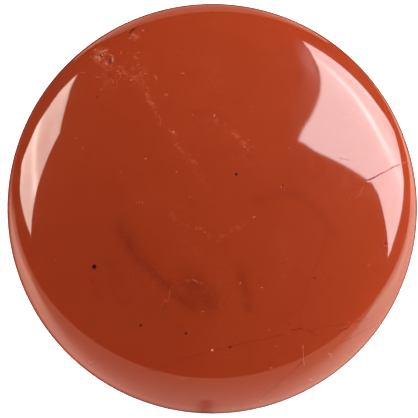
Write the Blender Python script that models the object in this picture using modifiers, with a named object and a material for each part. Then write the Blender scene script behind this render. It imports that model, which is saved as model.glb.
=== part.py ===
"""Polished round red jasper stone: a low dome with a turned-down rim, small natural pits, and a flat back to rest on.

Metres, +Z up. The origin is the middle of the flat back, and the domed face looks up.
"""
import math

import bpy
from mathutils import Matrix, Vector

# Size of the stone
DIAMETER = 0.0400
BACK_EDGE_RADIUS = 0.0008

# Section of the domed face, from its middle outward: the radius of each arc, and how steep the face is where the arc
# ends, in degrees from level. The rim is one more arc, from the last of these out to the full diameter.
FACE_ARCS = (
    (0.0505, 18.4),
    (0.0108, 33.1),
    (0.0049, 47.9),
)
FACE_ARC_STEPS = (7, 4, 4)
RIM_STEPS = 6
BACK_EDGE_STEPS = 4
TURN_STEPS = 112

# Pits in the face, in millimetres: place to the right and up as the face is looked at, width and depth
PITS_MM = (
    (-11.45, -5.65, 0.38, 0.20),
    (2.30, 3.31, 0.26, 0.14),
    (6.78, 2.19, 0.22, 0.08),
    (-6.94, -11.34, 0.24, 0.12),
    (-2.56, -12.11, 0.24, 0.12),
    (1.73, -13.44, 0.22, 0.08),
    (9.90, -6.76, 0.22, 0.08),
    (16.81, -3.46, 0.22, 0.08),
)

# The rough patch near the rim: hollows where softer grains have come out
ROUGH_PATCH_MM = (
    (-9.91, 14.24, 0.50, 0.16),
    (-9.85, 14.56, 0.46, 0.14),
    (-10.82, 14.93, 0.40, 0.12),
    (-10.55, 15.20, 0.24, 0.08),
    (-11.65, 14.93, 0.28, 0.08),
    (-11.33, 15.92, 0.28, 0.08),
)

# The short open slit above the rough patch: its two ends, its width and its depth
SLIT_MM = ((-8.20, 16.97), (-7.46, 17.65))
SLIT_WIDTH = 0.00028
SLIT_DEPTH = 0.00014

MM = 0.001
JASPER_RED = (0.33, 0.045, 0.015, 1.0)
POLISH_ROUGHNESS = 0.08

RADIUS = DIAMETER / 2


def clear_scene():
    for existing in list(bpy.data.objects):
        bpy.data.objects.remove(existing, do_unlink=True)


def new_collection(name):
    collection = bpy.data.collections.new(name)
    bpy.context.scene.collection.children.link(collection)
    return collection


def move_to(collection, thing):
    for owner in list(thing.users_collection):
        owner.objects.unlink(thing)
    collection.objects.link(thing)


def section_arcs():
    """The face's arcs as (start radius, start drop, start tilt, arc radius, end tilt); drops are below the middle."""
    arcs = []
    reach = 0.0
    drop = 0.0
    tilt = 0.0
    for arc_radius, end_degrees in FACE_ARCS:
        end_tilt = math.radians(end_degrees)
        arcs.append((reach, drop, tilt, arc_radius, end_tilt))
        reach += arc_radius * (math.sin(end_tilt) - math.sin(tilt))
        drop += arc_radius * (math.cos(tilt) - math.cos(end_tilt))
        tilt = end_tilt
    rim_radius = (RADIUS - reach) / (1.0 - math.sin(tilt))
    arcs.append((reach, drop, tilt, rim_radius, math.pi / 2))
    return arcs


def face_point(arc, tilt):
    """Distance from the axis, and drop below the middle of the face, where an arc has a tilt."""
    start, drop, start_tilt, arc_radius, _ = arc
    distance = start + arc_radius * (math.sin(tilt) - math.sin(start_tilt))
    return distance, drop + arc_radius * (math.cos(start_tilt) - math.cos(tilt))


ARCS = section_arcs()
WIDEST_DROP = face_point(ARCS[-1], math.pi / 2)[1]
HEIGHT = WIDEST_DROP + BACK_EDGE_RADIUS


def face_at(x, y):
    """The point of the face over a place, and the outward direction there."""
    distance = math.hypot(x, y)
    arc = [candidate for candidate in ARCS if candidate[0] <= distance][-1]
    start, _, start_tilt, arc_radius, _ = arc
    tilt = math.asin(math.sin(start_tilt) + (distance - start) / arc_radius)
    drop = face_point(arc, tilt)[1]
    outward = Vector((math.sin(tilt) * x / distance, math.sin(tilt) * y / distance, math.cos(tilt)))
    return Vector((x, y, HEIGHT - drop)), outward


def section_points():
    """The turned section, from the middle of the face, over the rim and in to the middle of the flat back."""
    points = [(0.0, HEIGHT)]
    for arc, steps in zip(ARCS, FACE_ARC_STEPS + (RIM_STEPS,)):
        start_tilt, end_tilt = arc[2], arc[4]
        for step in range(1, steps + 1):
            distance, drop = face_point(arc, start_tilt + (end_tilt - start_tilt) * step / steps)
            points.append((distance, HEIGHT - drop))
    for step in range(1, BACK_EDGE_STEPS + 1):
        turn = math.pi / 2 * step / BACK_EDGE_STEPS
        distance = RADIUS - BACK_EDGE_RADIUS * (1.0 - math.cos(turn))
        points.append((distance, BACK_EDGE_RADIUS * (1.0 - math.sin(turn))))
    points.append((0.0, 0.0))
    return points


def jasper_material():
    material = bpy.data.materials.new("red_jasper")
    material.use_nodes = True
    shader = material.node_tree.nodes["Principled BSDF"]
    shader.inputs["Base Color"].default_value = JASPER_RED
    shader.inputs["Roughness"].default_value = POLISH_ROUGHNESS
    shader.inputs["Metallic"].default_value = 0.0
    material.diffuse_color = JASPER_RED
    return material


def make_stone(collection):
    """The whole stone, turned from its section about the upright axis."""
    points = section_points()
    mesh = bpy.data.meshes.new("jasper_stone")
    edges = [(i, i + 1) for i in range(len(points) - 1)]
    mesh.from_pydata([(distance, 0.0, height) for distance, height in points], edges, [])
    stone = bpy.data.objects.new("jasper_stone", mesh)
    collection.objects.link(stone)
    turn = stone.modifiers.new("turn", "SCREW")
    turn.axis = "Z"
    turn.angle = math.tau
    turn.steps = TURN_STEPS
    turn.render_steps = TURN_STEPS
    turn.use_merge_vertices = True
    turn.merge_threshold = 0.00001
    turn.use_smooth_shade = True
    mesh.materials.append(jasper_material())
    return stone


def cut_with(stone, cutter, cutters):
    cutter.hide_render = True
    cutter.display_type = "WIRE"
    move_to(cutters, cutter)
    cut = stone.modifiers.new(cutter.name, "BOOLEAN")
    cut.operation = "DIFFERENCE"
    cut.solver = "EXACT"
    cut.object = cutter


def cut_pit(stone, cutters, x, y, width, depth):
    """A round hollow: a ball that reaches the given depth, and is as wide as the pit where it meets the face."""
    ball_radius = (width * width / 4 + depth * depth) / (2 * depth)
    surface, outward = face_at(x, y)
    centre = surface + outward * (ball_radius - depth)
    bpy.ops.mesh.primitive_ico_sphere_add(subdivisions=2, radius=ball_radius, location=centre)
    cutter = bpy.context.object
    cutter.name = "pit_cutter"
    cut_with(stone, cutter, cutters)


def cut_slit(stone, cutters):
    """A long narrow hollow: a stretched ball lying in the face between the slit's two ends."""
    start, end = (Vector((x, y, 0.0)) * MM for x, y in SLIT_MM)
    middle = (start + end) / 2
    surface, outward = face_at(middle.x, middle.y)
    run = end - start
    along = (run - outward * run.dot(outward)).normalized()
    across = outward.cross(along)
    bpy.ops.mesh.primitive_ico_sphere_add(subdivisions=2, radius=1.0, location=surface)
    cutter = bpy.context.object
    cutter.name = "slit_cutter"
    cutter.rotation_euler = Matrix((along, across, outward)).transposed().to_euler()
    cutter.scale = (run.length / 2, SLIT_WIDTH / 2, SLIT_DEPTH)
    cut_with(stone, cutter, cutters)


def build():
    clear_scene()
    part = new_collection("red_jasper_stone")
    cutters = new_collection("cutters")
    stone = make_stone(part)
    for x, y, width, depth in PITS_MM + ROUGH_PATCH_MM:
        cut_pit(stone, cutters, x * MM, y * MM, width * MM, depth * MM)
    cut_slit(stone, cutters)


build()
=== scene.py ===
import math

import bmesh
import bpy
import numpy as np
from mathutils import Matrix, Vector, kdtree, noise


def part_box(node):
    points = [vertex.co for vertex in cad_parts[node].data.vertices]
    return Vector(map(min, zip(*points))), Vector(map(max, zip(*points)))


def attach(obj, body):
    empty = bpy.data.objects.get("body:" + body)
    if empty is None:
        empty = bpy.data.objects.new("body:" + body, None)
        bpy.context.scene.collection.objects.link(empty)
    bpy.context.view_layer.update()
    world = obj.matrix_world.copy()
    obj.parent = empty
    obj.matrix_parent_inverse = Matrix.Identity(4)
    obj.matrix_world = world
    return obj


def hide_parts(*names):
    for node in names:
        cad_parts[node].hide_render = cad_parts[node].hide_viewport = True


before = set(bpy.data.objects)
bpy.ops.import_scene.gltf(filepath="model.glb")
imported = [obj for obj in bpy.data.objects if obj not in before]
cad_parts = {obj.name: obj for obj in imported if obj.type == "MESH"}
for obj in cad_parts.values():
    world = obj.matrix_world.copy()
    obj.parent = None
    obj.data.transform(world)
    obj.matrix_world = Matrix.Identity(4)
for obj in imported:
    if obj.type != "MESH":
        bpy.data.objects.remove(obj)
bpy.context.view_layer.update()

# The form of the stone: one piece of red jasper, ground to a low dome on a lap, with a tighter
# shoulder that turns over into the rim, and a flat back with a rounded edge. It is turned here from
# its section, in much finer steps than the solid that it stands for.
MM = 0.001
stone_low, stone_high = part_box("jasper_stone")
RADIUS = (stone_high[0] - stone_low[0]) / 2
HEIGHT = stone_high[2]
CROWN_RADIUS = 0.0506
SHOULDER_FROM = 0.01592
SHOULDER_RADIUS = 0.01197
SHOULDER_EASE = 0.00014
RIM_FROM = 0.02023
RIM_EASE = 0.00058
SECTION_SAMPLES = 20001
TILT_STEPS = 1800
CROWN_ENDS_AT_STEP = 364
CROWN_STRIDE = 7
SHOULDER_STRIDE = 28
BACK_EDGE_STEPS = 8
BACK_RINGS = 6
TURN_STEPS = 240
SAME_PLACE = 1e-7


def eased(distance, start, ease):
    """How far a distance is past a start, rounded off over a short ease, and nothing on the axis."""
    return ease * (np.logaddexp(0, (distance - start) / ease) - np.logaddexp(0, -start / ease))


def bend(distance):
    """Sine of the face's tilt, as the crown and the shoulder alone would give it."""
    tighter = 1 / SHOULDER_RADIUS - 1 / CROWN_RADIUS
    return distance / CROWN_RADIUS + tighter * eased(distance, SHOULDER_FROM, SHOULDER_EASE)


# The rim takes the tilt on from there, so that the face stands upright at the full radius.
distances = np.linspace(0, RADIUS, SECTION_SAMPLES)
rim_share = (1 - bend(RADIUS)) / eased(RADIUS, RIM_FROM, RIM_EASE)
sines = bend(distances) + rim_share * eased(distances, RIM_FROM, RIM_EASE)
tilts = np.radians(np.linspace(0, 90, TILT_STEPS + 1))
reaches = np.interp(np.sin(tilts), sines, distances)
falls = np.diff(reaches) * np.tan((tilts[1:] + tilts[:-1]) / 2)
heights = HEIGHT - np.concatenate(([0.0], np.cumsum(falls)))
BACK_EDGE_RADIUS = heights[-1]

rows = list(range(CROWN_STRIDE, CROWN_ENDS_AT_STEP, CROWN_STRIDE))
rows += list(range(CROWN_ENDS_AT_STEP, TILT_STEPS, SHOULDER_STRIDE)) + [TILT_STEPS]
section = [(0.0, HEIGHT)] + [(reaches[row], heights[row]) for row in rows]
for step in range(1, BACK_EDGE_STEPS + 1):
    turn = math.pi / 2 * step / BACK_EDGE_STEPS
    distance = RADIUS - BACK_EDGE_RADIUS * (1 - math.cos(turn))
    section.append((distance, BACK_EDGE_RADIUS * (1 - math.sin(turn))))
for ring in range(1, BACK_RINGS + 1):
    section.append(((RADIUS - BACK_EDGE_RADIUS) * (1 - ring / BACK_RINGS), 0.0))

form = bmesh.new()
profile = [form.verts.new((distance, 0, height)) for distance, height in section]
lines = [form.edges.new(pair) for pair in zip(profile, profile[1:])]
bmesh.ops.spin(
    form,
    geom=profile + lines,
    cent=(0, 0, 0),
    axis=(0, 0, 1),
    angle=math.tau,
    steps=TURN_STEPS,
    use_merge=True,
)
bmesh.ops.remove_doubles(form, verts=form.verts, dist=SAME_PLACE)
bmesh.ops.recalc_face_normals(form, faces=form.faces)

# What marks the face: pits where soft grains have come out, a rough patch with an open slit by the
# rim, hairline cracks, healed veins and flecks of paler quartz, and clouds of darker red. Places are
# in millimetres, to the right and up, as the face is looked at.

# Pits: place, width, depth and how dark they look inside, which is painted shade
PITS = (
    (-11.45, -5.65, 0.38, 0.20, 1.00),
    (2.30, 3.31, 0.26, 0.14, 0.75),
    (6.78, 2.19, 0.24, 0.07, 0.38),
    (-6.94, -11.34, 0.24, 0.12, 0.60),
    (-2.56, -12.11, 0.24, 0.12, 0.60),
    (1.73, -13.44, 0.24, 0.07, 0.42),
    (9.90, -6.76, 0.24, 0.07, 0.38),
    (16.81, -3.46, 0.24, 0.03, 0.45),
)
# Hollows of the rough patch: place, width, length, turn of the length in degrees, depth, how dark they
# are inside as painted shade, and how dull they are inside
HOLLOWS = (
    (-9.88, 14.39, 0.56, 0.92, -8, 0.09, 0.50, 0.8),
    (-10.82, 14.93, 0.30, 0.66, 42, 0.04, 0.36, 0.3),
    (-10.60, 15.12, 0.14, 0.24, 40, 0.03, 0.34, 0.3),
    (-11.65, 14.93, 0.20, 0.36, 40, 0.01, 0.30, 0.1),
    (-11.33, 15.92, 0.24, 0.36, 0, 0.01, 0.30, 0.0),
    (-7.83, 17.31, 0.26, 1.00, -47, 0.05, 0.45, 0.3),
)
# The rough patch itself: round areas of broken surface, with place, radius and strength
ROUGH_AREAS = (
    (-10.87, 14.95, 1.05, 1.0),
    (-10.17, 13.95, 0.80, 0.6),
    (-8.92, 13.19, 0.70, 0.4),
    (-7.48, 16.80, 0.60, 0.6),
)
# Cracks: places along them, width, depth, how dark they look (dark red, and black painted shade where
# they gape) and how much pale powder fills them
CRACKS = (
    (
        ((14.99, 2.63), (15.69, 2.98), (16.09, 3.23), (16.90, 3.63), (17.80, 4.13), (18.41, 4.38)),
        0.16, 0.008, 1.00, 0.0,
    ),
    (((-7.63, 17.46), (-7.29, 17.76), (-6.94, 18.06), (-6.69, 18.21)), 0.15, 0.0, 0.50, 0.0),
    (((18.41, 4.38), (18.72, 4.48), (19.03, 4.58)), 0.12, 0.01, 0.1, 0.8),
    (((14.89, 2.33), (14.59, 1.93), (14.39, 1.43), (13.79, 0.84)), 0.12, 0.0, 0.0, 0.30),
    (
        (
            (-6.33, -15.71), (-5.33, -15.60), (-3.84, -15.00), (-2.74, -14.60), (-1.34, -14.20),
            (-0.05, -13.80),
        ),
        0.11, 0.008, 0.34, 0.0,
    ),
    (
        (
            (-0.05, -13.80), (1.64, -13.40), (2.94, -13.05), (3.67, -12.88), (5.02, -12.65),
            (5.91, -12.43), (6.80, -12.22), (7.25, -12.06),
        ),
        0.12, 0.012, 0.50, 0.0,
    ),
    (((7.52, -11.71), (8.07, -11.77), (8.51, -11.61), (9.01, -11.79)), 0.24, 0.008, 0.52, 0.0),
    (((8.86, -11.79), (9.56, -11.99), (10.01, -12.25), (10.31, -12.43)), 0.14, 0.008, 0.42, 0.0),
    (((9.01, -11.83), (9.64, -11.81), (10.24, -11.66), (10.68, -11.55)), 0.12, 0.008, 0.36, 0.0),
    (((10.38, -11.55), (11.13, -11.40), (11.88, -11.35), (13.00, -11.12)), 0.12, 0.010, 0.46, 0.0),
    (((13.51, -10.98), (13.75, -10.93), (14.65, -10.85), (15.42, -10.69)), 0.13, 0.006, 0.34, 0.0),
    (((12.06, -11.76), (12.63, -11.70), (13.08, -11.58), (13.41, -11.27)), 0.15, 0.010, 0.48, 0.0),
    (((7.41, -11.06), (7.51, -11.26), (7.58, -11.43)), 0.15, 0.010, 0.60, 0.0),
    (
        (
            (12.22, -13.07), (12.94, -12.80), (13.76, -12.46), (14.36, -12.09), (15.53, -11.54),
            (16.54, -10.85),
        ),
        0.14, 0.008, 0.44, 0.0,
    ),
    (
        (
            (8.82, -14.77), (7.86, -15.85), (6.66, -16.67), (5.93, -17.50), (5.33, -17.95),
            (4.58, -18.56),
        ),
        0.14, 0.008, 0.52, 0.0,
    ),
    (
        (
            (11.19, -2.45), (10.69, -4.04), (10.10, -5.43), (9.40, -6.82), (9.03, -7.92),
            (8.89, -9.05), (8.44, -10.53),
        ),
        0.16, 0.0, 0.22, 0.0,
    ),
    (((-6.41, -5.23), (-5.52, -6.12), (-4.62, -7.12), (-3.73, -7.91)), 0.14, 0.0, 0.24, 0.0),
    (
        ((12.09, 4.92), (12.99, 4.72), (13.99, 4.67), (14.19, 4.87), (14.39, 5.12)),
        0.08, 0.003, 0.10, 0.0,
    ),
    (((16.90, 3.63), (17.40, 3.90), (17.91, 4.18), (18.26, 4.31)), 0.18, 0.010, 1.00, 0.0),
    (((-4.04, -7.61), (-4.21, -8.65), (-4.39, -9.26)), 0.12, 0.0, 0.0, 0.25),
    (((-4.63, -9.41), (-5.16, -9.70), (-6.03, -10.22)), 0.15, 0.0, 0.22, 0.0),
    (((-2.04, -6.83), (-1.64, -7.02), (-1.25, -7.22)), 0.13, 0.0, 0.0, 0.50),
    (((-11.94, 14.59), (-11.76, 14.89), (-11.50, 15.11)), 0.13, 0.0, 0.0, 0.50),
    (((-11.77, 14.63), (-11.23, 14.78), (-10.97, 14.58), (-10.64, 14.42)), 0.16, 0.0, 0.0, 0.75),
    (
        ((-11.12, 14.97), (-10.83, 15.27), (-10.56, 15.33), (-10.23, 15.41), (-9.98, 15.49)),
        0.15, 0.0, 0.0, 0.70,
    ),
    (((-11.55, 15.27), (-11.39, 15.53), (-11.18, 15.41)), 0.20, 0.0, 0.0, 0.80),
    (((-10.97, 14.13), (-10.74, 13.80), (-10.42, 13.87)), 0.14, 0.0, 0.0, 0.40),
    (((-10.38, 14.46), (-10.36, 14.13), (-10.07, 13.96)), 0.24, 0.0, 0.0, 0.95),
    (((-10.07, 15.20), (-9.92, 14.96), (-9.62, 14.81), (-9.51, 14.57)), 0.12, 0.0, 0.0, 0.50),
    (((-5.73, 13.03), (-5.51, 12.84), (-5.42, 12.62), (-5.49, 12.38)), 0.14, 0.0, 0.0, 0.55),
    (((-6.51, 10.83), (-6.33, 11.20), (-6.16, 10.96)), 0.14, 0.0, 0.0, 0.38),
    (((-6.50, 10.54), (-6.32, 10.41), (-6.12, 10.38), (-5.86, 10.06)), 0.16, 0.0, 0.0, 0.38),
    (((-8.32, -3.14), (-7.94, -3.79), (-7.52, -4.44), (-7.08, -5.18)), 0.22, 0.0, 0.20, 0.0),
    (((-4.82, -6.21), (-4.43, -6.82), (-4.12, -7.34)), 0.20, 0.0, 0.18, 0.0),
    (((-3.69, -7.87), (-3.14, -8.60), (-2.56, -9.43)), 0.22, 0.0, 0.18, 0.0),
)
# Healed veins, flush with the polish and broken up into threads: places along them, width, paleness
VEINS = (
    (
        (
            (-7.72, 12.49), (-7.02, 12.59), (-6.42, 11.54), (-6.22, 10.69), (-5.77, 9.89),
            (-5.37, 9.09), (-4.87, 8.29), (-4.33, 7.60), (-3.83, 7.35), (-3.43, 6.30), (-3.03, 5.70),
            (-2.53, 5.11), (-1.44, 4.41),
        ),
        0.50, 0.60,
    ),
    (
        (
            (-4.42, -0.36), (-3.43, -0.95), (-2.93, -1.35), (-2.14, -1.85), (-0.90, -2.05),
            (-0.35, -2.54), (0.45, -2.94), (1.74, -2.20), (2.68, -1.80), (3.63, -1.05),
        ),
        0.45, 0.50,
    ),
    (
        (
            (0.05, 9.09), (0.55, 8.49), (1.44, 7.89), (2.04, 7.35), (2.63, 6.80), (3.08, 6.30),
            (3.38, 5.80), (4.22, 5.51),
        ),
        0.70, 0.55,
    ),
    (
        (
            (-5.82, -10.21), (-5.22, -9.81), (-4.82, -9.31), (-4.43, -8.71), (-4.23, -8.21),
            (-4.03, -7.81), (-3.43, -7.32), (-2.54, -6.92), (-1.84, -7.02), (-1.14, -7.22),
            (-0.45, -7.61),
        ),
        0.24, 0.40,
    ),
    (((5.91, -6.72), (7.01, -6.62), (8.50, -6.62)), 0.30, 0.30),
    (((6.91, -4.04), (7.41, -3.69), (8.20, -3.24)), 0.30, 0.35),
    (
        (
            (-11.01, 12.20), (-9.91, 12.59), (-9.02, 12.89), (-8.32, 13.29), (-7.62, 12.89),
            (-6.92, 13.09), (-6.02, 13.18),
        ),
        1.60, 0.42,
    ),
    (((-8.23, 15.59), (-7.62, 14.79), (-6.63, 14.59), (-6.23, 13.88)), 0.90, 0.30),
    (((-3.43, 6.30), (-1.04, 2.92), (-0.05, 1.63)), 0.80, 0.22),
    (((9.30, 1.63), (10.69, 0.93), (12.29, 1.53), (13.49, 1.13)), 1.40, 0.14),
)
# Flecks: place, length, width, turn of the length in degrees and paleness
FLECKS = (
    (-10.96, 14.46, 0.24, 0.16, -35, 0.60),
    (-8.87, 15.17, 0.12, 0.40, 0, 0.26),
    (-7.16, 15.17, 0.34, 0.12, 0, 0.24),
    (-7.47, 14.69, 0.50, 0.14, -20, 0.28),
    (-7.22, 13.97, 0.36, 0.14, 30, 0.24),
    (-9.02, 13.82, 0.42, 0.12, 0, 0.32),
    (-10.77, 11.59, 0.32, 0.18, 0, 0.22),
    (-11.14, 12.78, 0.56, 0.10, -12, 0.30),
    (-12.62, 13.25, 0.56, 0.10, 0, 0.26),
    (-9.63, 12.34, 0.15, 0.45, 5, 0.25),
    (-9.17, 13.37, 0.36, 0.12, 0, 0.42),
    (-8.94, 13.16, 0.26, 0.12, -32, 0.52),
    (-8.64, 13.30, 0.16, 0.22, 12, 0.38),
    (-7.87, 12.51, 0.26, 0.12, 28, 0.70),
    (-7.70, 12.81, 0.14, 0.24, 30, 0.32),
    (-6.47, 13.11, 0.46, 0.09, -4, 0.42),
    (-7.73, 16.86, 0.30, 0.16, -40, 0.50),
    (-7.41, 16.64, 0.26, 0.14, 15, 0.45),
    (-8.01, 16.60, 0.30, 0.12, 30, 0.40),
    (-6.75, 17.35, 0.30, 0.22, 10, 0.35),
    (0.00, -13.74, 0.25, 0.24, 0, 1.55),
    (-3.77, 7.45, 0.20, 0.18, 0, 1.00),
    (3.15, 5.98, 0.22, 0.12, -35, 0.55),
    (-6.46, 4.85, 0.19, 0.18, 0, 0.65),
    (4.05, -0.82, 0.34, 0.13, 25, 0.70),
    (4.80, -7.66, 0.28, 0.10, 0, 0.65),
    (2.71, -7.22, 0.12, 0.34, -20, 0.50),
    (-0.90, -9.98, 0.28, 0.15, 20, 0.36),
    (-2.85, 13.15, 0.42, 0.11, -8, 0.60),
    (7.46, 5.89, 0.16, 0.15, 0, 0.35),
    (5.73, -15.49, 0.34, 0.15, 5, 0.45),
    (9.58, -16.65, 0.34, 0.11, 5, 0.60),
    (9.92, -16.39, 0.24, 0.10, 30, 0.30),
    (5.53, -11.80, 0.30, 0.18, 0, 0.20),
    (6.24, -13.37, 0.26, 0.16, 0, 0.26),
    (13.30, -11.07, 0.24, 0.14, 0, 0.34),
    (4.73, -18.71, 0.26, 0.16, 0, 0.26),
    (-13.20, 6.83, 0.30, 0.09, 5, 0.45),
    (-12.59, 5.89, 0.32, 0.10, -52, 0.40),
    (-15.24, -4.99, 0.36, 0.09, 35, 0.30),
    (0.20, 9.04, 0.12, 0.40, -12, 0.75),
    (-7.06, 0.66, 0.10, 0.40, 4, 0.30),
    (-6.76, 0.59, 0.10, 0.34, -6, 0.28),
    (-7.36, 0.54, 0.10, 0.30, 0, 0.22),
    (-8.85, 3.57, 0.36, 0.09, 0, 0.26),
    (-3.46, 3.58, 0.17, 0.15, 0, 0.50),
    (-2.17, 1.15, 0.30, 0.11, -8, 0.30),
    (-1.51, 4.39, 0.26, 0.12, -30, 0.30),
    (-4.46, 11.05, 0.44, 0.26, 15, 0.24),
    (-1.89, 9.12, 0.13, 0.13, 0, 0.45),
    (3.83, 9.89, 0.16, 0.14, 0, 0.26),
    (4.23, 11.38, 0.14, 0.13, 0, 0.26),
    (3.50, 6.66, 0.16, 0.13, 0, 0.34),
    (15.19, -5.50, 0.17, 0.15, 0, 0.42),
    (7.21, -4.83, 0.20, 0.12, 20, 0.24),
    (-0.71, -2.28, 0.15, 0.14, 0, 0.55),
)
# Small grains of dark iron ore: place, width and darkness
DARK_GRAINS = (
    (-5.61, 3.19, 0.17, 0.50),
    (-4.30, -0.44, 0.15, 0.45),
    (-11.16, 10.84, 0.24, 0.62),
    (4.16, 8.51, 0.15, 0.36),
    (7.57, 13.30, 0.18, 0.38),
    (15.07, -2.09, 0.20, 0.34),
    (-0.42, 5.68, 0.15, 0.28),
    (2.21, 13.48, 0.16, 0.24),
    (-4.31, -8.60, 0.15, 0.32),
    (-11.11, 12.62, 0.22, 0.14),
    (-9.98, 13.04, 0.40, 0.20),
    (7.34, -9.71, 0.26, 0.16),
    (7.66, -10.16, 0.30, 0.18),
    (5.68, -14.95, 0.50, 0.16),
)
# Clouds of darker red: places along them, width and strength
CLOUDS = (
    (
        (
            (-8.90, -1.85), (-8.30, -2.94), (-7.61, -4.04), (-6.71, -5.13), (-5.72, -6.12),
            (-4.82, -7.02), (-3.93, -7.91), (-2.93, -8.71), (-1.54, -9.51),
        ),
        1.6, 1.0,
    ),
    (((-2.14, -7.22), (-1.24, -8.21), (-0.45, -8.91)), 3.0, 1.0),
    (((2.73, -5.92), (3.08, -7.32), (3.38, -8.61), (3.53, -9.71)), 1.1, 0.7),
    (
        (
            (4.22, 0.83), (5.22, 1.03), (6.41, 1.23), (7.80, 1.43), (9.00, 0.93), (9.99, -0.06),
            (10.99, -1.35), (11.79, -2.45),
        ),
        0.9, 0.45,
    ),
    (((-11.60, -7.13), (-11.20, -7.92), (-10.80, -8.72)), 0.8, 0.5),
    (((-9.70, -8.12), (-9.01, -8.92), (-8.41, -9.31)), 0.8, 0.4),
    (((-4.83, -10.51), (-4.33, -8.81)), 0.9, 0.5),
    (((-1.64, 9.29), (-0.05, 9.49), (1.34, 8.69)), 0.7, 0.3),
    (((-8.80, -6.13), (-6.62, -8.91)), 7.0, 0.28),
)
PATH_STEP = 0.02
CRACK_SWAY = 0.03
CRACK_REACH = 0.5
CRACK_DULL_DEPTH = 0.10
VEIN_SWAY = 0.06
VEIN_PALENESS = 0.55
SWAY_LENGTH = 0.7
SWAY_SEED = 1
TAPER = 0.35
FLICKERS_PER_MM = 2.3
COARSE_GRAIN = 0.30
FINE_GRAIN = 0.14
ROUGH_DEPTH = 0.06
FLAKE_PALENESS = 0.25


def wandering(places, sway):
    """A path through the places in small even steps, in mm, swaying a little as cracks and veins do."""
    places = np.array(places, dtype=float)
    runs = np.hypot(*np.diff(places, axis=0).T)
    marks = np.concatenate(([0.0], np.cumsum(runs)))
    steps = np.linspace(0, marks[-1], int(marks[-1] / PATH_STEP) + 2)
    path = np.stack([np.interp(steps, marks, places[:, axis]) for axis in (0, 1)], axis=1)
    for point, step in zip(path, steps):
        offset = noise.noise_vector(Vector((step / SWAY_LENGTH, places[0, 0], places[0, 1])))
        point += sway * np.array(offset[:2])
    return path


def unevenness(path):
    """Strength along a path: it fades at both ends, and comes and goes between them."""
    count = len(path)
    from_end = np.minimum(np.arange(count), np.arange(count)[::-1]) * PATH_STEP
    flicker = [noise.noise(Vector((*(point * FLICKERS_PER_MM), 7.0))) for point in path]
    return np.clip(from_end / TAPER, 0, 1) * np.clip(0.85 + 0.6 * np.array(flicker), 0.2, 1.2)


# The seed is fixed, so that the cracks and veins sway alike each time that the script is run.
noise.seed_set(SWAY_SEED)
crack_paths = [wandering(crack[0], CRACK_SWAY) for crack in CRACKS]
vein_paths = [wandering(vein[0], VEIN_SWAY) for vein in VEINS]

# The face has finer cells where a mark is. Each pass halves the edges that are too long for how near
# they are to a mark, and puts the new points back on the section.
FINE_PASSES = ((0.26, 0.50), (0.13, 0.26), (0.065, 0.13))

fine_places = []
for path in crack_paths:
    fine_places += [(x, y, 0.05) for x, y in path[::3]]
fine_places += [(x, y, width / 2) for x, y, width, *_ in PITS + DARK_GRAINS]
fine_places += [(x, y, max(width, length) / 2) for x, y, width, length, *_ in HOLLOWS + FLECKS]
fine_places += [(x, y, radius) for x, y, radius, _ in ROUGH_AREAS]
fine_tree = kdtree.KDTree(len(fine_places))
for index, (x, y, _) in enumerate(fine_places):
    fine_tree.insert((x, y, 0), index)
fine_tree.balance()
WIDEST_MARK = max(reach for _, _, reach in fine_places)

section_tree = kdtree.KDTree(len(tilts))
for index, (distance, height) in enumerate(zip(reaches, heights)):
    section_tree.insert((distance, height, 0), index)
section_tree.balance()


def gap_to_marks(place):
    """Distance in mm from a place of the mesh, seen from above, to the edge of the nearest mark."""
    spot = (place.x / MM, place.y / MM, 0)
    near = fine_tree.find_range(spot, WIDEST_MARK + FINE_PASSES[0][1])
    return min((gap - fine_places[index][2] for _, index, gap in near), default=math.inf)


def put_on_section(vert):
    """Moves a vertex straight out or in to the section."""
    distance = math.hypot(vert.co.x, vert.co.y)
    _, index, _ = section_tree.find((distance, vert.co.z, 0))
    out, up = math.sin(tilts[index]), math.cos(tilts[index])
    miss = (distance - reaches[index]) * out + (vert.co.z - heights[index]) * up
    share = (distance - miss * out) / distance
    vert.co = (vert.co.x * share, vert.co.y * share, vert.co.z - miss * up)


for longest, margin in FINE_PASSES:
    chosen = []
    for edge in form.edges:
        middle = (edge.verts[0].co + edge.verts[1].co) / 2
        on_face = edge.verts[0].co.z > BACK_EDGE_RADIUS and edge.verts[1].co.z > BACK_EDGE_RADIUS
        if on_face and edge.calc_length() > longest * MM and gap_to_marks(middle) < margin:
            chosen.append(edge)
    cut = bmesh.ops.subdivide_edges(form, edges=chosen, cuts=1, use_grid_fill=True, use_single_edge=True)
    for item in cut["geom_inner"]:
        if isinstance(item, bmesh.types.BMVert):
            put_on_section(item)
bmesh.ops.triangulate(form, faces=[face for face in form.faces if len(face.verts) > 4])

stone_mesh = bpy.data.meshes.new("jasper_polished")
form.to_mesh(stone_mesh)
form.free()
stone_mesh.shade_smooth()
stone = bpy.data.objects.new("jasper_polished", stone_mesh)
bpy.context.scene.collection.objects.link(stone)

# The marks sink into the face along its own slope, and each leaves its strength on the vertices for
# the stone's colour and polish to read.
count = len(stone_mesh.vertices)
points = np.empty(count * 3)
stone_mesh.vertices.foreach_get("co", points)
points = points.reshape(count, 3)
spots = points[:, :2] / MM
on_face = points[:, 2] > BACK_EDGE_RADIUS
sink = np.zeros(count)
gap_shade = np.zeros(count)
iron_and_shade = np.zeros(count)
powder = np.zeros(count)
veined = np.zeros(count)
cloud = np.zeros(count)
dull = np.zeros(count)


def near_path(path, margin):
    """Vertices near a path, their distance from it in mm, and which point of it is nearest."""
    low, high = path.min(axis=0) - margin, path.max(axis=0) + margin
    close = on_face & (spots >= low).all(axis=1) & (spots <= high).all(axis=1)
    chosen = np.flatnonzero(close)
    gaps = np.hypot(*(spots[chosen, None, :] - path[None, :, :]).transpose(2, 0, 1))
    return chosen, gaps.min(axis=1), gaps.argmin(axis=1)


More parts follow.
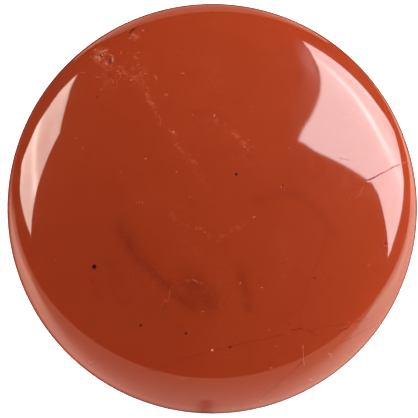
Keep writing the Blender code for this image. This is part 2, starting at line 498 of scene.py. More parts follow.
def in_oval(x, y, across, along, turn):
    """Vertices near an oval, and how far out each is: 0 in its middle and 1 on its edge."""
    chosen = np.flatnonzero(on_face & (np.hypot(spots[:, 0] - x, spots[:, 1] - y) < max(across, along)))
    angle = math.radians(turn)
    offset = spots[chosen] - (x, y)
    right = (offset[:, 0] * math.cos(angle) + offset[:, 1] * math.sin(angle)) / (across / 2)
    up = (offset[:, 1] * math.cos(angle) - offset[:, 0] * math.sin(angle)) / (along / 2)
    return chosen, np.hypot(right, up)


def grain_at(chosen, size, layer):
    """Noise with grains of a size in mm, at the chosen vertices, from -1 to 1."""
    return np.array([noise.noise(Vector((*(spots[i] / size), layer))) for i in chosen])


# A crack that is more than half dark gapes open, and shows black painted shade along its middle.
for (_, width, depth, darkness, filling), path in zip(CRACKS, crack_paths):
    chosen, gaps, nearest = near_path(path, CRACK_REACH)
    strength = unevenness(path)[nearest]
    groove = np.clip(1.15 - gaps / (width / 2), 0, 1) * strength
    sink[chosen] = np.maximum(sink[chosen], depth * groove)
    open_shade = max(0.0, 2 * darkness - 1)
    iron_and_shade[chosen] = np.maximum(iron_and_shade[chosen], (darkness + open_shade) * groove)
    gap_shade[chosen] = np.maximum(gap_shade[chosen], open_shade * groove)
    powder[chosen] = np.maximum(powder[chosen], filling * groove)
    dull[chosen] = np.maximum(dull[chosen], min(1.0, depth / CRACK_DULL_DEPTH) * groove)

for (_, width, paleness), path in zip(VEINS, vein_paths):
    chosen, gaps, nearest = near_path(path, 2 * width)
    patches = np.clip(0.7 + 1.6 * grain_at(chosen, 0.70, 3.0), 0, 1.3)
    streak = np.exp(-((gaps / (width / 2)) ** 2)) * unevenness(path)[nearest] * patches
    veined[chosen] = np.maximum(veined[chosen], VEIN_PALENESS * paleness * streak)

for x, y, length, width, turn, paleness in FLECKS:
    chosen, out = in_oval(x, y, length, width, turn)
    powder[chosen] = np.maximum(powder[chosen], paleness * np.clip(1.5 - 1.2 * out, 0, 1))

for x, y, radius, strength in ROUGH_AREAS:
    chosen, out = in_oval(x, y, 2 * radius, 2 * radius, 0)
    fade = strength * np.clip(1.6 - 1.6 * out, 0, 1)
    coarse, fine = grain_at(chosen, COARSE_GRAIN, 11.0), grain_at(chosen, FINE_GRAIN, 12.0)
    relief = np.clip(0.35 * coarse + 0.25 * fine, 0, 1) * fade
    sink[chosen] = np.maximum(sink[chosen], ROUGH_DEPTH * relief)
    flakes = np.clip(-1.8 * coarse + 0.8 * fine - 0.35, 0, 1) * fade
    powder[chosen] = np.maximum(powder[chosen], FLAKE_PALENESS * flakes)
    veined[chosen] = np.maximum(veined[chosen], 0.45 * fade)
    # Where the patch is sunk it is darkened with painted shade.
    iron_and_shade[chosen] = np.maximum(iron_and_shade[chosen], 0.8 * relief)
    dull[chosen] = np.maximum(dull[chosen], np.clip(fade * (0.3 + fine), 0, 0.5))

for x, y, across, along, turn, depth, darkness, dullness in HOLLOWS:
    chosen, out = in_oval(x, y, across, along, turn)
    bowl = np.clip(1 - out**2, 0, 1) ** 2 * np.clip(0.85 + 0.5 * grain_at(chosen, 0.12, 5.0), 0.4, 1)
    sink[chosen] = np.maximum(sink[chosen], depth * bowl)
    inside = np.clip(3 * bowl, 0, 1)
    iron_and_shade[chosen] = np.maximum(iron_and_shade[chosen], min(1.0, 1.6 * darkness) * inside)
    gap_shade[chosen] = np.maximum(gap_shade[chosen], darkness * inside)
    dull[chosen] = np.maximum(dull[chosen], dullness * inside)

# Inside a pit the dark is painted shade, and a dark stain runs a little past its edge.
for x, y, width, depth, darkness in PITS:
    chosen, out = in_oval(x, y, width, width, 0)
    bowl = np.clip(1 - out**2, 0, 1) ** 2
    sink[chosen] = np.maximum(sink[chosen], depth * bowl)
    inside = np.clip(2.8 - 2.2 * out, 0, 1)
    iron_and_shade[chosen] = np.maximum(iron_and_shade[chosen], 2 * darkness * inside)
    gap_shade[chosen] = np.maximum(gap_shade[chosen], min(1.0, 2.5 * darkness) * inside)
    dull[chosen] = np.maximum(dull[chosen], inside)

for x, y, width, darkness in DARK_GRAINS:
    chosen, out = in_oval(x, y, width, width, 0)
    iron_and_shade[chosen] = np.maximum(iron_and_shade[chosen], darkness * np.clip(1.7 - 1.5 * out, 0, 1))

for places, width, strength in CLOUDS:
    path = np.array(places)
    steps = np.linspace(0, len(path) - 1, 10 * len(path))
    path = np.stack([np.interp(steps, np.arange(len(path)), path[:, axis]) for axis in (0, 1)], axis=1)
    chosen, gaps, _ = near_path(path, width)
    cloud[chosen] = np.maximum(cloud[chosen], strength * np.exp(-((gaps / (width / 2)) ** 2)))

away = np.hypot(points[:, 0], points[:, 1])
tilt_here = np.arcsin(np.clip(np.interp(away, distances, sines), 0, 1))
outward = np.stack(
    [
        np.sin(tilt_here) * points[:, 0] / np.maximum(away, 1e-9),
        np.sin(tilt_here) * points[:, 1] / np.maximum(away, 1e-9),
        np.cos(tilt_here),
    ],
    axis=1,
)
points -= outward * (sink * MM)[:, None]
stone_mesh.vertices.foreach_set("co", points.ravel())
for name, values in (
    ("gap_shade", gap_shade),
    ("iron_and_shade", iron_and_shade),
    ("powder", powder),
    ("veined", veined),
    ("cloud", cloud),
    ("dull", dull),
):
    stone_mesh.attributes.new(name, "FLOAT", "POINT").data.foreach_set("value", values)
stone_mesh.update()

# The jasper itself: very fine quartz full of red iron oxide, so it is opaque, even in colour with
# faint clouds and grains, and takes a glassy polish. The back is only ground flat, and is matt.
BODY_RED = (0.177, 0.0214, 0.0053, 1)
BODY_DEEP = (0.136, 0.0152, 0.0041, 1)
BODY_WARM = (0.198, 0.0270, 0.0069, 1)
IRON_AND_SHADE_RED = (0.079, 0.0033, 0.001, 1)
PAINTED_PIT_SHADE = (0.012, 0.0012, 0.0008, 1)
QUARTZ_PALE = (0.58, 0.215, 0.12, 1)
GROUND_BACK = (0.30, 0.065, 0.028, 1)
QUARTZ_COVER = 0.62
POLISH = 0.045
DULLEST = 0.5
QUARTZ_IOR = 1.54
HAZE_ROUGHNESS = 0.27
BACK_GROUND_BELOW = 0.0001
BACK_POLISHED_ABOVE = 0.00035
STROKE_TURN = 0.5
STROKE_STRETCH = 22
STROKE_DEPTH = 0.00003


def add_node(tree, kind, inputs=None, **settings):
    """A node with its settings, its inputs given as values or as the sockets that feed them."""
    new = tree.nodes.new(kind)
    for name, value in settings.items():
        setattr(new, name, value)
    for socket, value in (inputs or {}).items():
        if isinstance(value, bpy.types.NodeSocket):
            tree.links.new(value, new.inputs[socket])
        else:
            new.inputs[socket].default_value = value
    return new


def reckon(tree, operation, *values):
    """The result of one sum on numbers or sockets."""
    return add_node(tree, "ShaderNodeMath", dict(enumerate(values)), operation=operation).outputs[0]


def grade(tree, value, low, high, to_low=0.0, to_high=1.0):
    """A value between low and high, brought smoothly to another range."""
    inputs = {"Value": value, "From Min": low, "From Max": high, "To Min": to_low, "To Max": to_high}
    return add_node(tree, "ShaderNodeMapRange", inputs, interpolation_type="SMOOTHSTEP").outputs["Result"]


def blended(tree, share, first, second):
    """One colour going over into another by a share."""
    return add_node(tree, "ShaderNodeMix", {0: share, 6: first, 7: second}, data_type="RGBA").outputs[2]


def clouds_of(tree, place, scale, detail=3.0, roughness=0.55, distortion=0.0):
    """Noise over the stone's own place, from 0 to 1."""
    inputs = {
        "Vector": place,
        "Scale": scale,
        "Detail": detail,
        "Roughness": roughness,
        "Distortion": distortion,
    }
    return add_node(tree, "ShaderNodeTexNoise", inputs).outputs["Fac"]


def threads_of(tree, place, scale, width):
    """Thin winding lines, where noise passes through its middle: 1 on a line, 0 away from it."""
    off = reckon(tree, "SUBTRACT", clouds_of(tree, place, scale, detail=2.0, distortion=0.5), 0.5)
    return grade(tree, reckon(tree, "ABSOLUTE", off), width, 0.0)


def painted(tree, name):
    """The strength of one kind of mark, as it was left on the vertices."""
    return add_node(tree, "ShaderNodeAttribute", attribute_name=name).outputs["Fac"]


jasper = bpy.data.materials.new("polished_red_jasper")
jasper.use_nodes = True
tree = jasper.node_tree
shader = tree.nodes["Principled BSDF"]
place = add_node(tree, "ShaderNodeTexCoord").outputs["Object"]

broad = clouds_of(tree, place, 110, detail=2.0, distortion=0.6)
medium = clouds_of(tree, place, 420, detail=4.0)
fine = clouds_of(tree, place, 2600, detail=2.0, roughness=0.7)
body = blended(tree, grade(tree, broad, 0.35, 0.75, 0.0, 0.35), BODY_RED, BODY_WARM)
body = blended(tree, grade(tree, medium, 0.55, 0.85, 0.0, 0.30), body, BODY_DEEP)
body = blended(tree, grade(tree, fine, 0.55, 0.85, 0.0, 0.30), body, BODY_WARM)

# The darker clouds are streaked and broken up, as silt settles.
streaks = clouds_of(tree, place, 900, detail=3.0, distortion=0.8)
broken_up = grade(tree, streaks, 0.25, 0.65, 0.45, 1.0)
body = blended(tree, reckon(tree, "MULTIPLY", painted(tree, "cloud"), broken_up), body, BODY_DEEP)

# Veins show as threads and crumbs of paler quartz, and stray ones cross the rest of the face.
stray = grade(tree, clouds_of(tree, place, 260, detail=1.0), 0.50, 0.75, 0.01, 0.05)
veined = reckon(tree, "MAXIMUM", painted(tree, "veined"), stray)
crumbs = grade(tree, clouds_of(tree, place, 3200, detail=1.0), 0.55, 0.80, 0.0, 0.5)
fine_threads = reckon(tree, "MULTIPLY", threads_of(tree, place, 1700, 0.05), 0.8)
coming_and_going = grade(tree, fine, 0.25, 0.65, 0.3, 1.0)
threads = reckon(tree, "MULTIPLY", threads_of(tree, place, 700, 0.04), coming_and_going)
threads = reckon(tree, "MAXIMUM", reckon(tree, "MAXIMUM", threads, fine_threads), crumbs)
powder = reckon(tree, "MAXIMUM", painted(tree, "powder"), reckon(tree, "MULTIPLY", veined, threads))
body = blended(tree, reckon(tree, "MULTIPLY", powder, QUARTZ_COVER), body, QUARTZ_PALE)
# Iron-red of the dark grains, and painted shade in pits, cracks, hollows and the sunk rough patch; the
# darkest go near black.
body = blended(tree, painted(tree, "iron_and_shade"), body, IRON_AND_SHADE_RED)
body = blended(tree, grade(tree, painted(tree, "iron_and_shade"), 1.1, 1.9), body, PAINTED_PIT_SHADE)

# The back is ground in straight strokes and never polished.
height_of_place = add_node(tree, "ShaderNodeSeparateXYZ", {"Vector": place}).outputs["Z"]
back = grade(tree, height_of_place, BACK_POLISHED_ABOVE, BACK_GROUND_BELOW)
drawn_out = {"Vector": place, "Rotation": (0, 0, STROKE_TURN), "Scale": (1, STROKE_STRETCH, 1)}
stroke_place = add_node(tree, "ShaderNodeMapping", drawn_out).outputs["Vector"]
strokes = clouds_of(tree, stroke_place, 160, detail=4.0, roughness=0.7)
ground = blended(tree, reckon(tree, "MULTIPLY", strokes, 0.5), GROUND_BACK, BODY_WARM)
body = blended(tree, reckon(tree, "MULTIPLY", back, 0.8), body, ground)

roughness = reckon(tree, "MULTIPLY_ADD", painted(tree, "dull"), DULLEST, POLISH)
roughness = reckon(tree, "MAXIMUM", roughness, reckon(tree, "MULTIPLY", back, DULLEST))
scored = reckon(tree, "MULTIPLY", strokes, back)
scoring = add_node(tree, "ShaderNodeBump", {"Height": scored, "Strength": 0.2, "Distance": STROKE_DEPTH})

# Pits, cracks and hollows get painted shade: metal of a dark colour, which takes the light up. Over the
# glassy polish lies a faint haze of finer scratches, which spreads a little of each bright reflection.
tree.links.new(body, shader.inputs["Base Color"])
tree.links.new(roughness, shader.inputs["Roughness"])
tree.links.new(painted(tree, "gap_shade"), shader.inputs["Metallic"])
tree.links.new(scoring.outputs["Normal"], shader.inputs["Normal"])
haze = grade(tree, clouds_of(tree, place, 1500, detail=4.0, roughness=0.7), 0.35, 0.70, 0.01, 0.13)
tree.links.new(haze, shader.inputs["Coat Weight"])
shader.inputs["IOR"].default_value = QUARTZ_IOR
shader.inputs["Coat Roughness"].default_value = HAZE_ROUGHNESS
shader.inputs["Coat IOR"].default_value = QUARTZ_IOR
stone_mesh.materials.append(jasper)

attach(stone, "root")
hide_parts("jasper_stone")

# Lint: short pale cotton fibres that have settled on the polish, each a thin thread that lies on the
# face. Places are in mm as before, and the thickness is a little more than one fibre's.
FIBRES = (
    ((8.81, -13.23), (8.82, -13.71), (8.84, -14.12), (8.88, -14.71), (8.94, -15.25)),
    ((11.22, -14.19), (11.37, -14.12), (11.49, -14.17), (11.56, -14.32), (11.53, -14.48), (11.47, -14.59)),
    ((-12.05, -14.85), (-11.96, -15.01), (-11.87, -15.07), (-11.77, -14.99), (-11.65, -14.88)),
)
FIBRE_RADIUS = 0.000014
FIBRE_SIDES = 6
FIBRE_STEPS = 5
FIBRE_LIFT = 1.2
COTTON_IN_SHADE = (0.38, 0.14, 0.09, 1)
COTTON_PALE = (0.56, 0.26, 0.19, 1)


def lying_on_face(x, y):
    """A point a little over a fibre's radius above the face, over a place in mm."""
    distance = math.hypot(x, y) * MM
    face_height = np.interp(distance, reaches, heights)
    return Vector((x * MM, y * MM, face_height + FIBRE_LIFT * FIBRE_RADIUS))


cotton = bpy.data.materials.new("cotton_lint")
cotton.use_nodes = True
tree = cotton.node_tree
shader = tree.nodes["Principled BSDF"]
place = add_node(tree, "ShaderNodeTexCoord").outputs["Object"]
# Along each fibre the colour goes between a shaded and a pale tone of cotton: painted shade.
fibre_shade = clouds_of(tree, place, 9000, detail=2.0)
tree.links.new(blended(tree, fibre_shade, COTTON_IN_SHADE, COTTON_PALE), shader.inputs["Base Color"])
shader.inputs["Roughness"].default_value = 0.8

for number, places in enumerate(FIBRES, start=1):
    spine = []
    for (x, y), (next_x, next_y) in zip(places, places[1:]):
        for share in np.arange(FIBRE_STEPS) / FIBRE_STEPS:
            spine.append(lying_on_face(x + (next_x - x) * share, y + (next_y - y) * share))
    spine.append(lying_on_face(*places[-1]))
    fibre = bmesh.new()
    bmesh.ops.create_circle(fibre, cap_ends=True, radius=FIBRE_RADIUS, segments=FIBRE_SIDES)
    heading = (spine[1] - spine[0]).normalized()
    turn = Vector((0, 0, 1)).rotation_difference(heading).to_matrix()
    bmesh.ops.rotate(fibre, cent=(0, 0, 0), matrix=turn, verts=fibre.verts)
    bmesh.ops.translate(fibre, vec=spine[0], verts=fibre.verts)
    end_edges = list(fibre.edges)
    for here, there, after in zip(spine, spine[1:], spine[2:] + spine[-1:]):
        pushed = bmesh.ops.extrude_edge_only(fibre, edges=end_edges)["geom"]
        end_verts = [item for item in pushed if isinstance(item, bmesh.types.BMVert)]
        end_edges = [item for item in pushed if isinstance(item, bmesh.types.BMEdge)]
        bmesh.ops.translate(fibre, vec=there - here, verts=end_verts)
        next_heading = (after - here).normalized()
        turn = heading.rotation_difference(next_heading).to_matrix()
        bmesh.ops.rotate(fibre, cent=there, matrix=turn, verts=end_verts)
        heading = next_heading
    bmesh.ops.contextual_create(fibre, geom=end_edges)
    bmesh.ops.recalc_face_normals(fibre, faces=fibre.faces)
    lint_mesh = bpy.data.meshes.new(f"lint_{number}")
    fibre.to_mesh(lint_mesh)
    fibre.free()
    lint_mesh.shade_smooth()
    lint_mesh.materials.append(cotton)
    lint = bpy.data.objects.new(f"lint_{number}", lint_mesh)
    bpy.context.scene.collection.objects.link(lint)
    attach(lint, "root")

# The studio: two soft boxes to the left and right, a white sheet that rises from just below the stone
# and takes warm light from the room, a low pale board behind, and a pale floor in a white room. The
# camera doesn't see the boxes, the sheet or the board, only their light and their images.
RIGHT_BOX_CENTRE = (0.3577, 0.1673, 0.2208)
RIGHT_BOX_OUTER = (0.3921, 0.3170, 0.0805)
RIGHT_BOX_TOP = (0.2126, 0.2851, 0.3108)
RIGHT_BOX_SIDES = (0.415, 0.415)
RIGHT_BOX_TINT = (1.09, 1.0, 1.01, 1)
RIGHT_BOX_GAIN = 1.20
LEFT_BOX_CENTRE = (-0.3777, 0.1345, 0.2092)
LEFT_BOX_OUTER = (-0.3591, 0.2084, 0.0942)
LEFT_BOX_TOP = (-0.3576, 0.2564, 0.2907)
LEFT_BOX_SIDES = (0.296, 0.276)
LEFT_BOX_TINT = (1.20, 1.0, 0.87, 1)
LEFT_BOX_GAIN = 1.10
BOX_MARGIN = 1.3


def glowing(name):
    """A material that only gives off light: its tree, and the node that says how much."""
    material = bpy.data.materials.new(name)
    material.use_nodes = True
    tree = material.node_tree
    tree.nodes.remove(tree.nodes["Principled BSDF"])
    light = add_node(tree, "ShaderNodeEmission")
    tree.links.new(light.outputs[0], tree.nodes["Material Output"].inputs["Surface"])
    return material, tree, light


def flat_sheet(name, centre, across, upward, width, height, material):
    """A flat rectangle about its centre, whose width runs along across and its height along upward."""
    across = Vector(across).normalized()
    upward = Vector(upward)
    upward = (upward - across * upward.dot(across)).normalized()
    grid = bmesh.new()
    bmesh.ops.create_grid(grid, x_segments=1, y_segments=1, size=0.5)
    bmesh.ops.scale(grid, vec=(width, height, 1), verts=grid.verts)
    mesh = bpy.data.meshes.new(name)
    grid.to_mesh(mesh)
    grid.free()
    mesh.materials.append(material)
    sheet = bpy.data.objects.new(name, mesh)
    turned = Matrix((across, upward, across.cross(upward))).transposed().to_4x4()
    sheet.matrix_world = Matrix.Translation(centre) @ turned
    bpy.context.scene.collection.objects.link(sheet)
    sheet.visible_camera = False
    sheet.visible_shadow = False
    return sheet


def own_place(tree, across_unit, up_unit):
    """Where a place is on a flat sheet, to the right and up from its middle, in the given units."""
    place = add_node(tree, "ShaderNodeTexCoord").outputs["Object"]
    axes = add_node(tree, "ShaderNodeSeparateXYZ", {"Vector": place}).outputs
    return reckon(tree, "DIVIDE", axes["X"], across_unit), reckon(tree, "DIVIDE", axes["Y"], up_unit)


def hump(tree, value, centre, width):
    """1 where the value is at a centre, and falling away on both sides within a width."""
    off = reckon(tree, "DIVIDE", reckon(tree, "SUBTRACT", value, centre), width)
    return reckon(tree, "EXPONENT", reckon(tree, "MULTIPLY", reckon(tree, "MULTIPLY", off, off), -1.0))


def summed(tree, base, *terms):
    """A base plus each term's value times its factor."""
    total = base
    for value, factor in terms:
        total = reckon(tree, "MULTIPLY_ADD", value, factor, total)
    return total


def within(tree, value, edge, soft):
    """1 while the value is below an edge, going softly to 0 past it."""
    return grade(tree, reckon(tree, "SUBTRACT", value, edge), -soft, soft, 1.0, 0.0)


def times(tree, first, *others):
    """The product of all the values."""
    for other in others:
        first = reckon(tree, "MULTIPLY", first, other)
    return first


def right_box_light(tree, right, up):
    """The cloth of the right box: a bright bent band, a softer one above it, and edges that bow in."""
    past_middle = reckon(tree, "MAXIMUM", right, 0.0)
    before_middle = reckon(tree, "MINIMUM", right, 0.0)
    bend_line = reckon(tree, "MULTIPLY_ADD", past_middle, 0.50, -0.09)
    band = hump(tree, reckon(tree, "SUBTRACT", up, bend_line), 0.0, 0.125)
    band = times(tree, band, summed(tree, 0.25, (hump(tree, right, 0.22, 0.60), 0.75)))
    upper = times(tree, hump(tree, up, 0.75, 0.12), hump(tree, right, 0.08, 0.42))
    dip = times(tree, grade(tree, up, 0.1, 0.7), grade(tree, right, 0.1, -0.9))
    cloth = summed(tree, 9.4, (band, 5.6), (upper, 3.0), (dip, -2.6), (hump(tree, up, 0.0, 0.45), 0.9))
    outer = summed(tree, 0.895, (times(tree, right, right), 0.11), (grade(tree, right, -0.3, -0.6), 0.085))
    inner = summed(
        tree,
        0.962,
        (times(tree, past_middle, past_middle), 0.09),
        (before_middle, -0.17),
        (grade(tree, right, 0.80, 1.0), -0.035),
        (grade(tree, right, -0.75, -1.0), 0.05),
    )
    far_side = summed(
        tree,
        0.965,
        (grade(tree, up, 0.10, 0.45), -0.09),
        (grade(tree, up, -0.85, -1.12), 0.05),
    )
    near_side = summed(
        tree,
        1.0,
        (hump(tree, up, 0.05, 0.35), -0.05),
        (grade(tree, up, 0.50, 0.95), 0.05),
        (hump(tree, up, -0.60, 0.15), -0.015),
        (grade(tree, up, -0.70, -0.95), 0.03),
    )
    inside = times(
        tree,
        within(tree, up, outer, 0.04),
        within(tree, reckon(tree, "MULTIPLY", up, -1.0), inner, 0.012),
        within(tree, reckon(tree, "MULTIPLY", right, -1.0), far_side, 0.04),
    )
    glare = times(tree, hump(tree, up, 0.12, 0.55), grade(tree, right, 1.3, 1.0), 1.8)
    lit = times(tree, inside, cloth, within(tree, right, near_side, 0.02))
    return reckon(tree, "ADD", lit, times(tree, inside, glare, grade(tree, right, 0.94, 1.05)))


def left_box_light(tree, right, up):
    """The cloth of the left box, with one upright bright band."""
    band = hump(tree, right, -0.17, 0.14)
    low = times(tree, hump(tree, right, -0.25, 0.25), hump(tree, up, -0.75, 0.16))
    beside = grade(tree, right, 0.0, -0.4)
    far = times(tree, hump(tree, right, 0.75, 0.2), 1.1)
    outward_gain = grade(tree, up, -0.2, 0.8)
    cloth = summed(tree, 7.3, (band, 4.6), (low, 2.0), (beside, 1.2), (far, 1.0), (outward_gain, 1.3))
    first_step, second_step = grade(tree, right, -0.5, -0.25), grade(tree, right, 0.1, 0.5)
    outer = summed(tree, 0.84, (first_step, 0.09), (second_step, 0.135))
    inner = grade(tree, right, -0.1, 0.3, 1.02, 1.06)
    far_side = grade(tree, up, 0.2, 0.7, 0.995, 0.885)
    near_side = grade(tree, up, 0.0, 0.5, 1.06, 1.0)
    inside = times(
        tree,
        within(tree, up, outer, 0.05),
        within(tree, reckon(tree, "MULTIPLY", up, -1.0), inner, 0.03),
        within(tree, reckon(tree, "MULTIPLY", right, -1.0), far_side, 0.04),
        within(tree, right, near_side, 0.04),
    )
    return times(tree, inside, cloth)


def stand_box(name, light_of, centre, outer, top, sides, tint, gain):
    """Stands up a soft box. It lights the stone by a gain more than its image in the polish shows."""
    material, tree, light = glowing(name)
    right, up = own_place(tree, sides[0] / 2, sides[1] / 2)
    scattered = add_node(tree, "ShaderNodeLightPath").outputs["Is Diffuse Ray"]
    share = reckon(tree, "MULTIPLY_ADD", scattered, gain - 1, 1.0)
    tree.links.new(times(tree, light_of(tree, right, up), share), light.inputs["Strength"])
    light.inputs["Color"].default_value = tint
    across, upward = Vector(top) - Vector(centre), Vector(outer) - Vector(centre)
    flat_sheet(name, centre, across, upward, sides[0] * BOX_MARGIN, sides[1] * BOX_MARGIN, material)


stand_box(
    "soft_box_right",
    right_box_light,
    RIGHT_BOX_CENTRE,
    RIGHT_BOX_OUTER,
    RIGHT_BOX_TOP,
    RIGHT_BOX_SIDES,
    RIGHT_BOX_TINT,
    RIGHT_BOX_GAIN,
)
stand_box(
    "soft_box_left",
    left_box_light,
    LEFT_BOX_CENTRE,
    LEFT_BOX_OUTER,
    LEFT_BOX_TOP,
    LEFT_BOX_SIDES,
    LEFT_BOX_TINT,
    LEFT_BOX_GAIN,
)

# The sheet is lit by the room, by each box where the stone and the other box do not stand in its
# way, and by the stone where it is near. Places on it are in mm: to the right, and up its slope from
# the point that is nearest to the middle of the stone's back.
SHEET_TILT = math.radians(43.5)
SHEET_DROP = 0.0143
SHEET_FOOT = -0.160
SHEET_TOP = 0.800
SHEET_WIDTH = 1.6
ROOM_ON_SHEET = (1.55, 0.85, 0.58)
RIGHT_BOX_ON_SHEET = (1.9, 2.8, 2.4)
LEFT_BOX_ON_SHEET = (2.7, 1.95, 1.52)
STONE_ON_SHEET = (0.75, 0.75, 0.75)
paper, tree, light = glowing("white_sheet")
sheet_out = Vector((0, math.cos(SHEET_TILT), math.sin(SHEET_TILT)))
sheet_up = Vector((0, -math.sin(SHEET_TILT), math.cos(SHEET_TILT)))
sheet_middle = (SHEET_TOP + SHEET_FOOT) / 2
right, up = own_place(tree, MM, MM)
up = reckon(tree, "ADD", up, sheet_middle / MM)
off_middle = reckon(tree, "ABSOLUTE", right)

# Where the stone stands in the room's light, the sheet is in its shade.
nearest_in_front = SHEET_DROP * math.cos(SHEET_TILT) / MM
in_front = reckon(tree, "MULTIPLY_ADD", up, math.sin(SHEET_TILT), nearest_in_front)
level_place = add_node(tree, "ShaderNodeCombineXYZ", {"X": right, "Y": in_front}).outputs[0]
from_axis = add_node(tree, "ShaderNodeVectorMath", {0: level_place}, operation="LENGTH").outputs["Value"]
past = reckon(tree, "MAXIMUM", right, 0.0)
shade_edge = reckon(tree, "MULTIPLY_ADD", times(tree, past, past), -0.006, 35.5)
shade_half = reckon(tree, "MULTIPLY_ADD", reckon(tree, "SUBTRACT", from_axis, 20.0), 0.6, 0.9)
shade_place = reckon(tree, "SUBTRACT", reckon(tree, "ADD", from_axis, up), shade_edge)
shade_place = reckon(tree, "DIVIDE", shade_place, reckon(tree, "MAXIMUM", shade_half, 0.9))
unshaded = grade(tree, shade_place, -1.0, 1.0, 0.06, 1.0)

# Its foot is darker near the stone, and darkest in a narrow gap right in front of it.
low_down = times(tree, hump(tree, right, 0.0, 110.0), grade(tree, up, 20.0, 4.0))
unshaded = times(tree, unshaded, summed(tree, 1.0, (low_down, -0.28)))
dark_notch = times(tree, hump(tree, right, -0.75, 0.85), within(tree, up, 20.2, 0.8))
unshaded = times(tree, unshaded, summed(tree, 1.0, (dark_notch, -0.45)))

# Close by it takes some light from the stone, and each box lights it up to a slanting edge.
near_stone = reckon(tree, "EXPONENT", reckon(tree, "DIVIDE", reckon(tree, "SUBTRACT", 16.0, up), 12.0))
near_stone = reckon(tree, "MINIMUM", near_stone, 1.0)
near_stone = times(tree, near_stone, grade(tree, right, -130.0, -60.0, 0.0, 1.0))
right_reach = reckon(tree, "MULTIPLY_ADD", right, 0.73, 11.0)
right_level = summed(
    tree,
    0.25,
    (hump(tree, right, 84.0, 50.0), 0.74),
    (grade(tree, right, 100.0, 160.0), 0.20),
)
right_lit = times(
    tree,
    within(tree, up, right_reach, 9.0),
    right_level,
    grade(tree, up, -60.0, 12.0, 0.3, 1.0),
)
left_reach = reckon(tree, "MULTIPLY_ADD", off_middle, 0.36, 11.5)
left_level = summed(tree, 0.25, (hump(tree, right, -72.0, 40.0), 0.78))
left_lit = times(tree, within(tree, up, left_reach, 8.0), left_level, grade(tree, right, -4.0, -14.0))
left_lit = times(tree, left_lit, grade(tree, up, -38.0, 6.0))
low_share = grade(tree, right, -20.0, 40.0, 0.0, 0.5)
far_right = times(tree, grade(tree, right, 40.0, 150.0), grade(tree, up, 5.0, -45.0))
low_share = times(tree, summed(tree, low_share, (far_right, 1.9)), grade(tree, up, -150.0, -85.0))
room_lit = times(tree, reckon(tree, "MAXIMUM", grade(tree, up, -38.0, 6.0), low_share), unshaded)
colour = None
for amount, tone in (
    (room_lit, ROOM_ON_SHEET),
    (right_lit, RIGHT_BOX_ON_SHEET),
    (left_lit, LEFT_BOX_ON_SHEET),
    (near_stone, STONE_ON_SHEET),
):
    part = add_node(tree, "ShaderNodeVectorMath", {0: tone, "Scale": amount}, operation="SCALE").outputs[0]
    if colour is None:
        colour = part
    else:
        colour = add_node(tree, "ShaderNodeVectorMath", {0: colour, 1: part}, operation="ADD").outputs[0]
tree.links.new(colour, light.inputs["Color"])

# On the stone's own red the sheet throws most of its light from a little above its foot, less from
# the foot itself and hardly any from far up.
scattered = add_node(tree, "ShaderNodeLightPath").outputs["Is Diffuse Ray"]
loss_above = grade(tree, up, 32.0, 50.0, -0.58, 0.90)
loss_below = grade(tree, up, 22.0, 6.0, 0.0, 0.85)
loss = times(tree, scattered, reckon(tree, "ADD", loss_above, loss_below))
strength = times(tree, unshaded, reckon(tree, "SUBTRACT", 1.0, loss))
tree.links.new(strength, light.inputs["Strength"])
flat_sheet(
    "white_sheet",
    sheet_up * sheet_middle - sheet_out * SHEET_DROP,
    (1, 0, 0),
    sheet_up,
    SHEET_WIDTH,
    SHEET_TOP - SHEET_FOOT,
    paper,
)

# The board behind has a bowed upper edge and is brighter towards its ends. It lights nothing: only its
# image shows.
BOARD_CENTRE = (-0.035, 0.30, -0.150)
BOARD_WIDTH = 0.49
BOARD_HEIGHT = 0.36
BOARD_COLOUR = (1.0, 0.66, 0.50, 1)
board, tree, light = glowing("back_board")
light.inputs["Color"].default_value = BOARD_COLOUR
right, up = own_place(tree, MM, MM)
off_middle = reckon(tree, "ADD", right, 25.0)
bowed = reckon(tree, "MULTIPLY_ADD", times(tree, off_middle, off_middle), -0.0023, 165.0)
bowed = summed(tree, bowed, (grade(tree, right, -115.0, -215.0), -120.0))
sides = grade(tree, reckon(tree, "ABSOLUTE", reckon(tree, "ADD", right, -20.0)), 60.0, 130.0)
brighter = times(tree, sides, grade(tree, up, 80.0, -10.0))
strength = times(tree, within(tree, up, bowed, 14.0), summed(tree, 1.08, (brighter, 0.60)))
tree.links.new(strength, light.inputs["Strength"])
back_board = flat_sheet(
    "back_board",
    BOARD_CENTRE,
    (1, 0, 0),
    (0, 0, 1),
    BOARD_WIDTH,
    BOARD_HEIGHT,
    board,
)
back_board.visible_diffuse = False

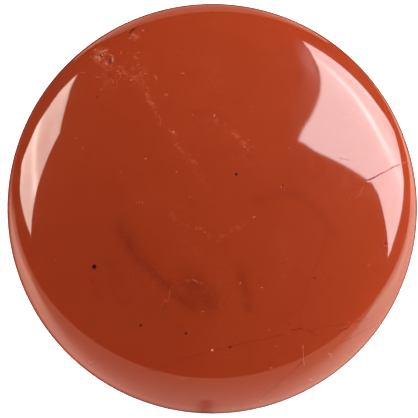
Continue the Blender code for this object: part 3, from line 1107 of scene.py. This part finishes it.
# The floor is pale and even, a hair below the stone's back, and isn't mirrored in the polish. Near
# the stone it gives less light, as it lies in its shade.
FLOOR_SIDE = 3.0
FLOOR_HEIGHT = -0.00001
FLOOR_PALE = (0.8, 0.8, 0.8, 1)
SHADED_TO = 0.018
UNSHADED_FROM = 0.070
floor_material = bpy.data.materials.new("pale_floor")
floor_material.use_nodes = True
tree = floor_material.node_tree
shader = tree.nodes["Principled BSDF"]
shader.inputs["Base Color"].default_value = FLOOR_PALE
shader.inputs["Roughness"].default_value = 0.9
place = add_node(tree, "ShaderNodeTexCoord").outputs["Object"]
from_axis = add_node(tree, "ShaderNodeVectorMath", {0: place}, operation="LENGTH").outputs["Value"]
seen = add_node(tree, "ShaderNodeLightPath").outputs["Is Camera Ray"]
strength = reckon(tree, "MAXIMUM", seen, grade(tree, from_axis, SHADED_TO, UNSHADED_FROM, 0.05, 0.55))
shader.inputs["Emission Color"].default_value = (1, 1, 1, 1)
tree.links.new(strength, shader.inputs["Emission Strength"])
# From below the floor is clear, so that the stone's back can be seen.
from_below = add_node(tree, "ShaderNodeNewGeometry").outputs["Backfacing"]
clear = add_node(tree, "ShaderNodeBsdfTransparent").outputs["BSDF"]
one_sided = add_node(tree, "ShaderNodeMixShader", {0: from_below, 1: shader.outputs["BSDF"], 2: clear})
tree.links.new(one_sided.outputs["Shader"], tree.nodes["Material Output"].inputs["Surface"])
floor = flat_sheet(
    "floor",
    (0, 0, FLOOR_HEIGHT),
    (1, 0, 0),
    (0, 1, 0),
    FLOOR_SIDE,
    FLOOR_SIDE,
    floor_material,
)
floor.visible_camera = True
floor.visible_glossy = False

# The room is white where the camera sees it, and gives the stone hardly any light.
room = bpy.data.worlds.new("room")
room.use_nodes = True
bpy.context.scene.world = room
tree = room.node_tree
seen = add_node(tree, "ShaderNodeLightPath").outputs["Is Camera Ray"]
backdrop = tree.nodes["Background"]
tree.links.new(grade(tree, seen, 0.0, 1.0, 0.05, 1.0), backdrop.inputs["Strength"])
backdrop.inputs["Color"].default_value = (1, 1, 1, 1)
bpy.context.scene.view_settings.view_transform = "Standard"

# The camera looks straight down on the face from far off, a little left of its middle.
FRAME_WIDTH = 0.04078
LENS = 800.0
SENSOR = 36.0
CAMERA_OFF_AXIS = (-0.000317, -0.000036)
camera_data = bpy.data.cameras.new("camera")
camera_data.lens = LENS
camera_data.sensor_width = SENSOR
camera = bpy.data.objects.new("camera", camera_data)
camera.location = (*CAMERA_OFF_AXIS, BACK_EDGE_RADIUS + FRAME_WIDTH * LENS / SENSOR)
bpy.context.scene.collection.objects.link(camera)
bpy.context.scene.camera = camera
